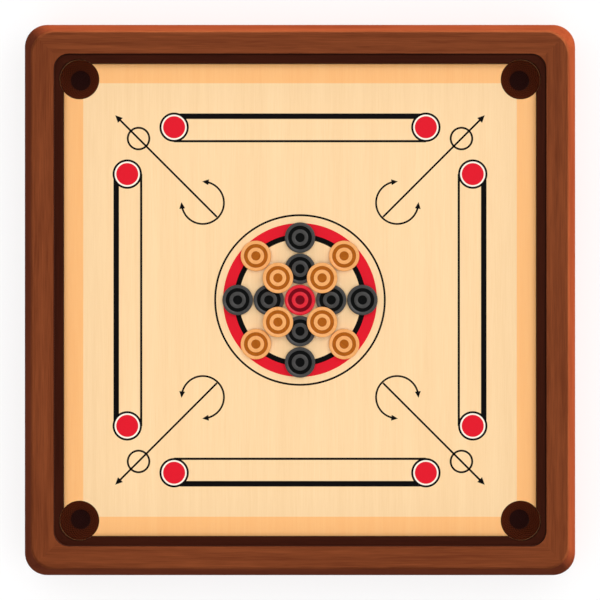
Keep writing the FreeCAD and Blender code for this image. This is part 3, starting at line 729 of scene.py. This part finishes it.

# ----------------------------------------------------------------------- coins
# One red queen, eight black and eight tan coins, turned from sycamore, dyed and lacquered. Each face has a
# rim, a groove, a bead and a dimple, and the groove and dimple are stained dark on the lathe. The raised
# parts of the black coins are grey, a painted sheen.

COIN_DIMPLE = 4.7 * MM
COIN_BEAD = 8.4 * MM
COIN_GROOVE = 12.1 * MM
COIN_CROWN = 0.18 * MM
COIN_RELIEF = 0.6 * MM
COIN_EDGE = 0.8 * MM
COIN_STEPS = 80
COIN_LIFT = 0.06 * MM
COIN_DROP = 0.02 * MM
RIM_SHOULDER = 1.2 * MM
TOOL_MARK = 0.5 * MM
TOOL_MARK_DEPTH = 0.006 * MM
WOOD_BETWEEN_COINS = 30 * MM
TURN_PER_COIN = 0.382 * TURN


def swell(inner, outer, points):
    """Radii from inner to outer, close together at both ends, and the height of a half ellipse over them."""
    angle = np.linspace(0, math.pi, points)
    return (inner + outer) / 2 - (outer - inner) / 2 * np.cos(angle), np.sin(angle)


def coin_face(radius):
    """The outline of a coin's face from its middle to its side, as (radius, height from the top): a hollow
    quarter ellipse, a low swelling bead, a hollow half ellipse, and a rim that rounds over at its edge."""
    quarter = np.linspace(0, math.pi / 2, 9)
    depth = COIN_RELIEF - COIN_CROWN
    dimple = (COIN_DIMPLE * np.sin(quarter), -COIN_CROWN - depth * np.cos(quarter))
    across, bulge = swell(COIN_DIMPLE, COIN_BEAD, 11)
    bead = (across, COIN_CROWN * (bulge - 1))
    across, bulge = swell(COIN_BEAD, COIN_GROOVE, 13)
    groove = (across, -COIN_CROWN - depth * bulge)
    flat = (COIN_GROOVE + RIM_SHOULDER * np.sin(quarter), -COIN_CROWN * (1 - np.sin(quarter)))
    rounding = radius - COIN_EDGE
    edge = (rounding + COIN_EDGE * np.sin(quarter), -COIN_EDGE * (1 - np.cos(quarter)))
    # A curve that starts where the one before it ends leaves out its own first point.
    curves = [np.column_stack(curve) for curve in (dimple, bead, groove, flat, edge)]
    return np.concatenate([curves[0], *(curve[1:] for curve in curves[1:4]), curves[4]])


def coin(radius, thickness):
    """A coin turned about the origin with its top at height 0, and for each face 1 if it is stained."""
    face = coin_face(radius)
    back = face[::-1] * (1, -1) - (0, thickness)
    profile = np.concatenate([face, back])
    middle = (profile[1:-2, 0] + profile[2:-1, 0]) / 2
    hollow = (middle < COIN_DIMPLE) | ((middle > COIN_BEAD) & (middle < COIN_GROOVE))
    stained = np.concatenate([np.repeat(hollow, COIN_STEPS), np.ones(2 * COIN_STEPS)])
    vertices, faces, _ = turned(profile, COIN_STEPS)
    return vertices, faces, stained


def dyed_sycamore(name, pale, dark, **finish):
    """Dyed sycamore: a close, quiet grain and faint rings left by the lathe tool. Real tool marks are about
    0.2 mm apart, and are drawn at 0.5 mm. The grain is placed by each coin's own attribute."""
    material, tree = new_material(name, **finish)
    place = add_node(tree, "Attribute", out="Vector", attribute_name="from_coin_middle")
    figure = {"along": "X", "ring": 2.5 * MM, "fibre": 0.5 * MM, "contrast": 0.9}
    colour, fibres = grain(tree, place, pale, dark, **figure)
    flat = add_node(tree, "VectorMath", {0: place, 1: (1.0, 1.0, 0.0)}, operation="MULTIPLY")
    distance = add_node(tree, "VectorMath", {0: flat}, "Value", operation="LENGTH")
    phase = add_node(tree, "Math", {0: distance, 1: TURN / TOOL_MARK}, operation="MULTIPLY")
    rings = add_node(tree, "Math", {0: phase}, operation="SINE")
    height = add_node(tree, "Math", {0: rings, 1: fibres}, operation="ADD")
    relief = add_node(tree, "Bump", {"Height": height, "Strength": 1.0, "Distance": TOOL_MARK_DEPTH})
    feed(tree, Base_Color=colour, Normal=relief)
    return material


# The faces stand proud under lacquer, and the stain leaves the grooves dull.
LACQUERED = {"Roughness": 0.35, "Specular_IOR_Level": 0.3, "Coat_Weight": 0.2, "Coat_Roughness": 0.15}
STAINED = {"Roughness": 0.6, "Specular_IOR_Level": 0.06}
COIN_COLOURS = {
    "red": (("#E41A2F", "#D21228"), ("#7A0817", "#680A18")),
    # The black coins' faces are a grey that is a painted sheen of the lacquer; their grooves keep the dye's
    # black.
    "black": (("#41403F", "#363534"), ("#0D0E0E", "#080909")),
    "tan": (("#F4AD67", "#E69D57"), ("#B16019", "#9A5012")),
}
coin_woods = {}
for colour, (face, groove) in COIN_COLOURS.items():
    finishes = [dyed_sycamore(f"{colour}_lacquered_sycamore", *face, **LACQUERED)]
    finishes.append(dyed_sycamore(f"{colour}_stained_groove", *groove, **STAINED))
    coin_woods[colour] = finishes
coin_names = ["queen"]
coin_names += [f"black_{ring}_{side}" for ring in ("inner", "outer") for side in SIDES]
coin_names += [f"tan_{ring}_{corner}" for ring in ("inner", "outer") for corner in CORNERS]
for number, name in enumerate(coin_names):
    low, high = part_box(name)
    middle = np.array([(low.x + high.x) / 2, (low.y + high.y) / 2, high.z - COIN_DROP])
    vertices, faces, stained = coin((high.x - low.x) / 2, high.z - low.z - COIN_LIFT - COIN_DROP)
    # Each coin comes from its own place in the wood and lies turned by its own angle.
    sine, cosine = math.sin(number * TURN_PER_COIN), math.cos(number * TURN_PER_COIN)
    turn = np.array([[cosine, -sine, 0], [sine, cosine, 0], [0, 0, 1]])
    place = vertices @ turn.T + (0, 0, number * WOOD_BETWEEN_COINS)
    colour = name.split("_")[0].replace("queen", "red")
    part = (vertices + middle, faces, [])
    attributes = {"from_coin_middle": place}
    piece = new_piece(f"turned_{name}", part, coin_woods[colour], name, stained, 30, attributes)
    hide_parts(name)

# ------------------------------------------------------- floor, light and camera
# A matt white table in a white room, under four large soft lamps. A lamp of its own lights the table, and a
# low raking one picks out the rails. All but the first are polarised, so they leave no glare.

FLOOR_HALF = 12.0
LENS_HEIGHT = 5.0
PICTURE_PER_BOARD = 1.0905
LAMP_SHARE = 0.191
TABLE_SHARE = 0.78
RAKE_SHARE = 3.75
WALL_LIGHT = 0.9
CEILING_LIGHT = 0.3
DARK_LIGHT = 0.03
WALL_ENDS = (0.35, 0.45)
FLAG_STARTS = (0.9, 0.95)
BEVEL_HEIGHT = 11 * MM

floor_mesh = bpy.data.meshes.new("table_top")
floor_corners = [(FLOOR_HALF * x, FLOOR_HALF * y, 0.0) for x, y in CORNERS.values()]
floor_mesh.from_pydata(floor_corners, [], [(0, 1, 2, 3)])
# The card is white round the board, and dark under it: a painted shadow, where the far lamps would
# show through the open nets.
white_card_and_painted_shadow, tree = new_material("matt_white_card_and_painted_shadow", Roughness=0.95)
position = add_node(tree, "TexCoord", out="Object")
_, _, farther = plan_place(tree, position)
under = add_node(tree, "Math", {0: farther, 1: rail_middle}, operation="LESS_THAN")
card = {0: under, 6: linear("#F8F8F8"), 7: linear("#26201E")}
feed(tree, Base_Color=add_node(tree, "Mix", card, 2, data_type="RGBA"))
floor_mesh.materials.append(white_card_and_painted_shadow)
floor = bpy.data.objects.new("table_top", floor_mesh)
bpy.context.scene.collection.objects.link(floor)
floor.visible_glossy = False

# The room by height of the direction: white walls, a dimmer ceiling, and a black flag round the lens, so that
# nothing flat and glossy mirrors a lamp. The table is kept out of reflections, as a polarising filter would.
world = bpy.data.worlds.new("white_room")
world.use_nodes = True
room = world.node_tree
room.nodes["Background"].inputs["Color"].default_value = (1.0, 1.0, 1.0, 1.0)
direction = add_node(room, "TexCoord", out="Generated")
height = add_node(room, "SeparateXYZ", {"Vector": direction}, "Z")
light = add_node(room, "Math", {0: height, 1: 0.0}, operation="GREATER_THAN")
light = add_node(room, "MapRange", {"Value": light, "To Min": DARK_LIGHT, "To Max": WALL_LIGHT})
for (start, end), level in ((WALL_ENDS, CEILING_LIGHT), (FLAG_STARTS, DARK_LIGHT)):
    past = add_node(room, "MapRange", {"Value": height, "From Min": start, "From Max": end})
    light = add_node(room, "Mix", {0: past, 2: light, 3: level})
room.links.new(light, room.nodes["Background"].inputs["Strength"])
bpy.context.scene.world = world


def add_lamp(name, share, azimuth, elevation, width, receivers=None, blockers=None):
    """A far lamp that gives a white surface square to it this share of full white. Angles are in degrees, and
    the azimuth is from +X to +Y."""
    lamp = bpy.data.lights.new(name, "SUN")
    lamp.energy = math.pi * share
    lamp.angle = math.radians(width)
    piece = bpy.data.objects.new(name, lamp)
    azimuth, elevation = math.radians(azimuth), math.radians(elevation)
    level = math.cos(elevation)
    towards = Vector((level * math.cos(azimuth), level * math.sin(azimuth), math.sin(elevation)))
    piece.rotation_euler = towards.to_track_quat("Z", "Y").to_euler()
    bpy.context.scene.collection.objects.link(piece)
    if receivers:
        piece.light_linking.receiver_collection = receivers
    if blockers:
        piece.light_linking.blocker_collection = blockers
    return piece


def linked(name, pieces, state="INCLUDE"):
    """A collection that tells a lamp which pieces it lights, or which it leaves out."""
    group = bpy.data.collections.new(name)
    for piece in pieces:
        group.objects.link(piece)
    for link in group.collection_objects:
        link.light_linking.link_state = state
    return group


rails = [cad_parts[f"rail_{side}"] for side in SIDES]
only_rails = linked("only_rails", rails)
only_table = linked("only_table", [floor])
all_but_table = linked("all_but_table", [floor], "EXCLUDE")
all_but_rails = linked("all_but_table_and_rails", [floor, *rails], "EXCLUDE")
lamps = [
    add_lamp("lamp_back_right", LAMP_SHARE, 45, elevation=68, width=25, receivers=all_but_table),
    add_lamp("lamp_back_left", LAMP_SHARE, 135, elevation=82, width=25, receivers=all_but_rails),
    add_lamp("lamp_front_left", LAMP_SHARE, 225, elevation=82, width=25, receivers=all_but_rails),
    add_lamp("lamp_front_right", LAMP_SHARE, 315, elevation=82, width=25, receivers=all_but_rails),
    add_lamp("lamp_over_table", TABLE_SHARE, 0, elevation=90, width=4, receivers=only_table),
    add_lamp("raking_lamp", RAKE_SHARE, 45, 5, 10, receivers=only_rails, blockers=only_rails),
]
for lamp in lamps[1:]:
    lamp.visible_glossy = False

# The frame is widest at the foot of its bevel, and the lens is set for the board's size at that height.
camera = bpy.data.cameras.new("overhead_camera")
bevel_foot_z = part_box("rail_right")[1].z - BEVEL_HEIGHT
camera.lens = camera.sensor_width * (LENS_HEIGHT - bevel_foot_z) / (2 * board_half * PICTURE_PER_BOARD)
camera_piece = bpy.data.objects.new("overhead_camera", camera)
camera_piece.location = (0.0, 0.0, LENS_HEIGHT)
bpy.context.scene.collection.objects.link(camera_piece)
bpy.context.scene.camera = camera_piece
bpy.context.scene.view_settings.view_transform = "Standard"
